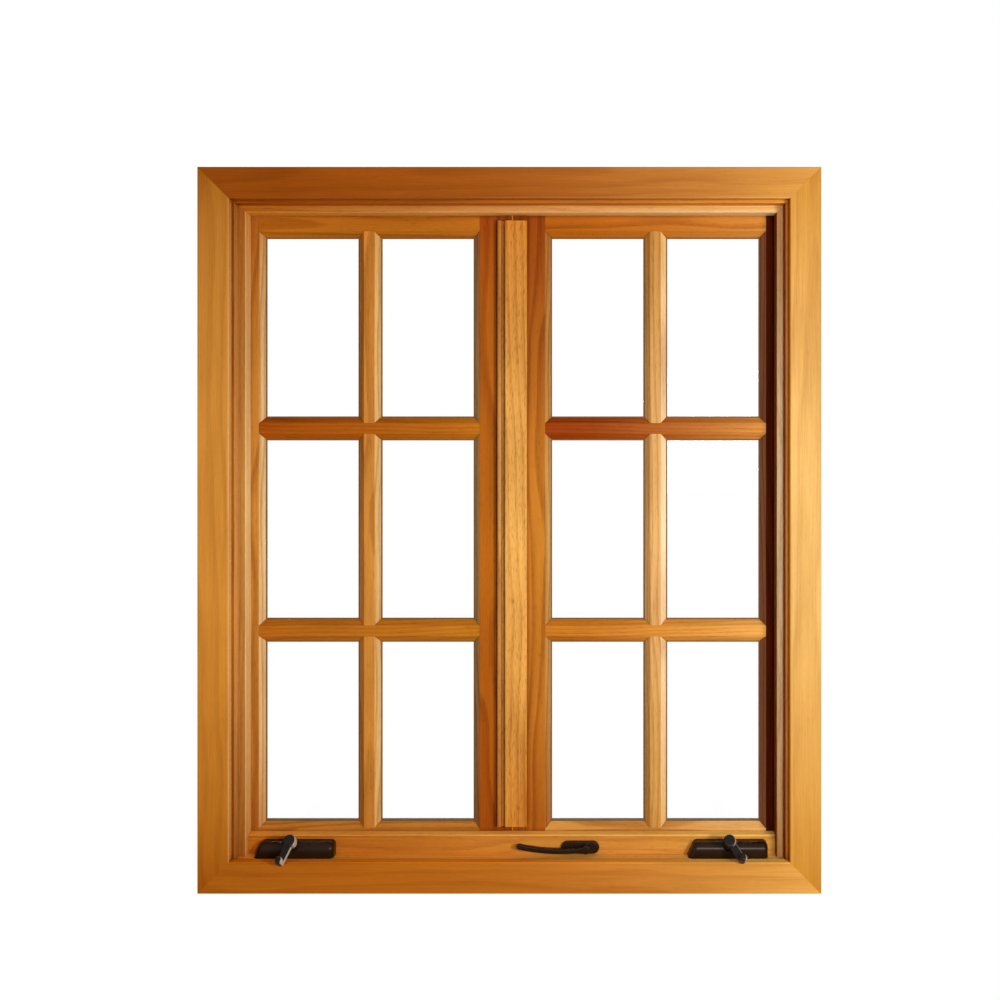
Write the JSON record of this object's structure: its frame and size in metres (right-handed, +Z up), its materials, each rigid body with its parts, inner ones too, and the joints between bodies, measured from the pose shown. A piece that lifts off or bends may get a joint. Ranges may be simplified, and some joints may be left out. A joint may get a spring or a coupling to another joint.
{
  "type": "twin casement composite window",
  "caption": "Twin casement window with divided lites in a mitred timber casing, clad in metal outside, with crank operators and a lock lever on the sill.",
  "frame": {"origin": "middle of the flat underside of the frame's sill", "axes": "+X right seen from the room, +Y out through the wall to the weather side, +Z up"},
  "size_m": [1.09, 0.1788, 1.27],
  "materials": {
    "casing_wood": "satin lacquer over honey stain",
    "frame_wood": "satin lacquer over honey stain",
    "stop_wood": "satin lacquer over pale gold stain",
    "sash_wood": "satin lacquer over amber stain",
    "glass": "clear",
    "spacer": "matt black-brown",
    "cladding": "dark bronze powder coat",
    "bronze": "dark bronze enamel"
  },
  "bodies": {
    "frame": {"casing_top": "casing_wood", "casing_bottom": "casing_wood", "casing_left": "casing_wood", "casing_right": "casing_wood", "head": "frame_wood", "sill": "frame_wood", "left_jamb": "frame_wood", "right_jamb": "frame_wood", "head_stop": "stop_wood", "left_stop": "stop_wood", "right_stop": "stop_wood", "sill_stop": "stop_wood", "head_cladding": "cladding", "left_jamb_cladding": "cladding", "right_jamb_cladding": "cladding", "sill_cladding": "cladding", "left_sash_outer_stile": "sash_wood", "left_sash_meeting_stile": "sash_wood", "left_sash_top_rail": "sash_wood", "left_sash_bottom_rail": "sash_wood", "left_sash_vertical_bar": "sash_wood", "left_sash_horizontal_bars": "sash_wood", "left_sash_glass": "glass", "left_sash_glass_spacer": "spacer", "left_sash_stile_cladding": "cladding", "left_sash_rail_cladding": "cladding", "left_sash_outer_bars": "cladding", "right_sash_outer_stile": "sash_wood", "right_sash_meeting_stile": "sash_wood", "right_sash_top_rail": "sash_wood", "right_sash_bottom_rail": "sash_wood", "right_sash_vertical_bar": "sash_wood", "right_sash_horizontal_bars": "sash_wood", "right_sash_glass": "glass", "right_sash_glass_spacer": "spacer", "right_sash_stile_cladding": "cladding", "right_sash_rail_cladding": "cladding", "right_sash_outer_bars": "cladding", "astragal": "stop_wood", "left_operator_cover": "bronze", "right_operator_cover": "bronze", "lock_plate": "bronze"},
    "left_crank": {"left_crank": "bronze"},
    "right_crank": {"right_crank": "bronze"},
    "lock_lever": {"lock_lever": "bronze"}
  },
  "joints": [
    {"name": "left_crank_turn", "type": "hinge", "parent": "frame", "child": "left_crank", "pos_m": [-0.386, -0.05103, 0.07293], "axis": [0, -0.8192, 0.5736], "continuous": true},
    {"name": "right_crank_turn", "type": "hinge", "parent": "frame", "child": "right_crank", "pos_m": [0.386, -0.05103, 0.07293], "axis": [0, -0.8192, 0.5736], "continuous": true},
    {"name": "lock_lever_swing", "type": "hinge", "parent": "frame", "child": "lock_lever", "pos_m": [0.133, -0.019, 0.053], "axis": [0, 1, 0], "range_deg": [0, 90]}
  ]
}
